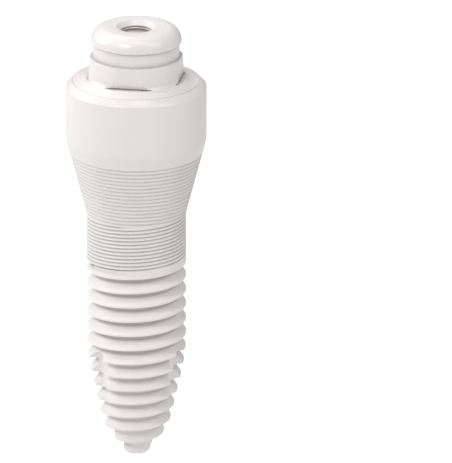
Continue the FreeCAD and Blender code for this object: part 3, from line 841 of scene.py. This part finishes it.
class IMPLANT_OT_insert(bpy.types.Operator):
    """Make the metal insert with its tapped hole and stud"""

    bl_idname = "implant.make_insert"
    bl_label = "Tapped insert"

    def execute(self, context):
        sizes = context.scene.implant_sizes
        finish = turned_metal("turned_titanium", context.scene.implant_colours.titanium)
        turns = int(BORE_DEPTH / sizes.screw_pitch) - 1
        bore_foot = INSERT_TOP - BORE_DEPTH
        thread_top = INSERT_TOP - BORE_CHAMFER
        thread_foot = thread_top - turns * sizes.screw_pitch
        outline = [
            (0, STUD_FOOT),
            (STUD_RADIUS - STUD_CHAMFER, STUD_FOOT),
            (STUD_RADIUS, STUD_FOOT + STUD_CHAMFER),
            (STUD_RADIUS, GUIDE_FOOT),
            (GUIDE_RADIUS, GUIDE_FOOT),
            (GUIDE_RADIUS, SEAT_FOOT),
            (INSERT_RADIUS, SEAT_FOOT),
            (INSERT_RADIUS, INSERT_TOP),
            (BORE_RADIUS + BORE_CHAMFER, INSERT_TOP),
            (BORE_RADIUS, thread_top),
        ]
        bottom = [
            (BORE_RADIUS, thread_foot),
            (BORE_RADIUS, bore_foot),
            (0, bore_foot - BORE_RADIUS / math.tan(DRILL_ANGLE)),
        ]
        piece = lathe("tapped_insert", [eased(outline, INSERT_EDGE_ROUND), bottom])
        tree = ShapeTree("Tapped insert", Pitch=sizes.screw_pitch, Depth=BORE_THREAD_DEPTH, Finish=finish)
        grid, turn, row = skin_grid(tree, 0, turns + 2, len(SCREW_ROWS))
        drop = chosen(tree, row, [down * sizes.screw_pitch for down, _ in SCREW_ROWS])
        depth = chosen(tree, row, [share for _, share in SCREW_ROWS])
        height = (tree.Pitch * turn + thread_foot - drop).at_least(thread_foot).at_most(thread_top)
        share = ((height - thread_foot) / FADE).held() * ((thread_top - height) / FADE).held()
        skin = wrapped(tree, grid, turn, tree.Depth * depth * share + BORE_RADIUS, height, outward=False)
        joined = tree.add("GeometryNodeJoinGeometry")
        tree.tree.links.new(tree.entry.outputs[0], joined.inputs[0])
        tree.tree.links.new(skin, joined.inputs[0])
        welded = tree.add("GeometryNodeMergeByDistance", i0=joined.outputs[0], Distance=WELD)
        tree.finish(smooth(tree, welded.outputs[0], INSERT_SHARP), tree.Finish)
        tree.apply(piece)
        settle(piece, "insert_stud")
        return {"FINISHED"}


class IMPLANT_OT_stage(bpy.types.Operator):
    """Make the white studio, its lamps and the camera"""

    bl_idname = "implant.make_stage"
    bl_label = "Studio"

    def execute(self, context):
        scene = context.scene
        self.floor(scene)
        self.lamps(scene)
        self.surroundings(scene)
        self.camera(scene)
        scene.view_settings.view_transform = "Standard"
        return {"FINISHED"}

    def floor(self, scene):
        """A pale floor that reads white where the camera sees it, and darker in the shadow."""
        level = TIP - FLOOR_DROP
        reach = FLOOR_REACH
        mesh = bpy.data.meshes.new("floor")
        corners = [
            (-reach, -reach, level), (reach, -reach, level), (reach, reach, level), (-reach, reach, level),
        ]
        mesh.from_pydata(corners, [], [(0, 1, 2, 3)])
        piece = bpy.data.objects.new("floor", mesh)
        scene.collection.objects.link(piece)
        material = bpy.data.materials.new("floor")
        material.use_nodes = True
        nodes = Tree(material.node_tree)
        shader = material.node_tree.nodes["Principled BSDF"]
        shader.inputs["Base Color"].default_value = (*scene.implant_colours.floor, 1)
        shader.inputs["Roughness"].default_value = 0.9
        shader.inputs["Specular IOR Level"].default_value = 0.0
        path = nodes.add("ShaderNodeLightPath")
        seen = nodes.signal(path.outputs["Is Camera Ray"])
        glow = nodes.add("ShaderNodeEmission", Strength=FLOOR_GLOW)
        both = nodes.add("ShaderNodeAddShader", i0=shader.outputs[0], i1=glow.outputs[0])
        mixed = nodes.add("ShaderNodeMixShader", i0=seen, i1=shader.outputs[0], i2=both.outputs[0])
        output = material.node_tree.nodes["Material Output"]
        material.node_tree.links.new(mixed.outputs[0], output.inputs["Surface"])
        mesh.materials.append(material)

    def lamps(self, scene):
        """Soft lamps: from the left side, the left front, the right front, above and behind."""
        centre = Vector((0, 0, (CAP_TOP + TIP) / 2))
        for name, (azimuth, elevation, distance, width, power, colour) in LAMPS.items():
            lamp = bpy.data.lights.new(name, "AREA")
            lamp.shape = "DISK"
            lamp.size = width * MM
            lamp.energy = power
            lamp.color = colour
            away = direction(azimuth, elevation)
            holder = bpy.data.objects.new(name, lamp)
            holder.location = centre + away * distance * MM
            holder.rotation_euler = away.to_track_quat("Z", "Y").to_euler()
            scene.collection.objects.link(holder)

    def surroundings(self, scene):
        """White where the camera looks, and an even pale light elsewhere."""
        world = bpy.data.worlds.new("studio")
        world.use_nodes = True
        scene.world = world
        nodes = Tree(world.node_tree)
        back = world.node_tree.nodes["Background"]
        back.inputs["Color"].default_value = (1, 1, 1, 1)
        back.inputs["Strength"].default_value = SKY
        white = nodes.add("ShaderNodeBackground", Strength=1.0)
        white.inputs["Color"].default_value = (1, 1, 1, 1)
        path = nodes.add("ShaderNodeLightPath")
        seen = nodes.signal(path.outputs["Is Camera Ray"])
        mixed = nodes.add("ShaderNodeMixShader", i0=seen, i1=back.outputs[0], i2=white.outputs[0])
        world.node_tree.links.new(mixed.outputs[0], world.node_tree.nodes["World Output"].inputs["Surface"])

    def camera(self, scene):
        """A long lens, raised and a little to the right, with the object left of the picture's middle."""
        away = direction(VIEW_AZIMUTH, VIEW_ELEVATION)
        right = direction(VIEW_AZIMUTH + 90, 0)
        data = bpy.data.cameras.new("camera")
        data.sensor_fit = "VERTICAL"
        data.sensor_height = SENSOR
        data.lens = LENS
        data.clip_start = 0.01
        data.clip_end = 10
        holder = bpy.data.objects.new("camera", data)
        aim = Vector((0, 0, AIM_HEIGHT)) + right * AIM_ASIDE
        holder.location = aim + away * PICTURE_HEIGHT * LENS / SENSOR
        holder.rotation_euler = away.to_track_quat("Z", "Y").to_euler()
        scene.collection.objects.link(holder)
        scene.camera = holder


class IMPLANT_PT_panel(bpy.types.Panel):
    """Lists the pieces of the implant"""

    bl_idname = "IMPLANT_PT_panel"
    bl_label = "Implant"
    bl_space_type = "VIEW_3D"
    bl_region_type = "UI"
    bl_category = "Implant"

    def draw(self, context):
        layout = self.layout
        for group in (context.scene.implant_sizes, context.scene.implant_colours):
            for name in group.bl_rna.properties.keys():
                if name not in ("rna_type", "name"):
                    layout.prop(group, name)
        for operator in OPERATORS:
            layout.operator(operator.bl_idname)


OPERATORS = (IMPLANT_OT_root, IMPLANT_OT_head, IMPLANT_OT_insert, IMPLANT_OT_stage)
CLASSES = (ImplantSizes, ImplantColours, *OPERATORS, IMPLANT_PT_panel)


def register():
    for item in CLASSES:
        bpy.utils.register_class(item)
    bpy.types.Scene.implant_sizes = bpy.props.PointerProperty(type=ImplantSizes)
    bpy.types.Scene.implant_colours = bpy.props.PointerProperty(type=ImplantColours)


def unregister():
    del bpy.types.Scene.implant_colours
    del bpy.types.Scene.implant_sizes
    for item in reversed(CLASSES):
        bpy.utils.unregister_class(item)


def main():
    register()
    bpy.ops.implant.make_root()
    bpy.ops.implant.make_head()
    bpy.ops.implant.make_insert()
    bpy.ops.implant.make_stage()


if __name__ == "__main__":
    main()
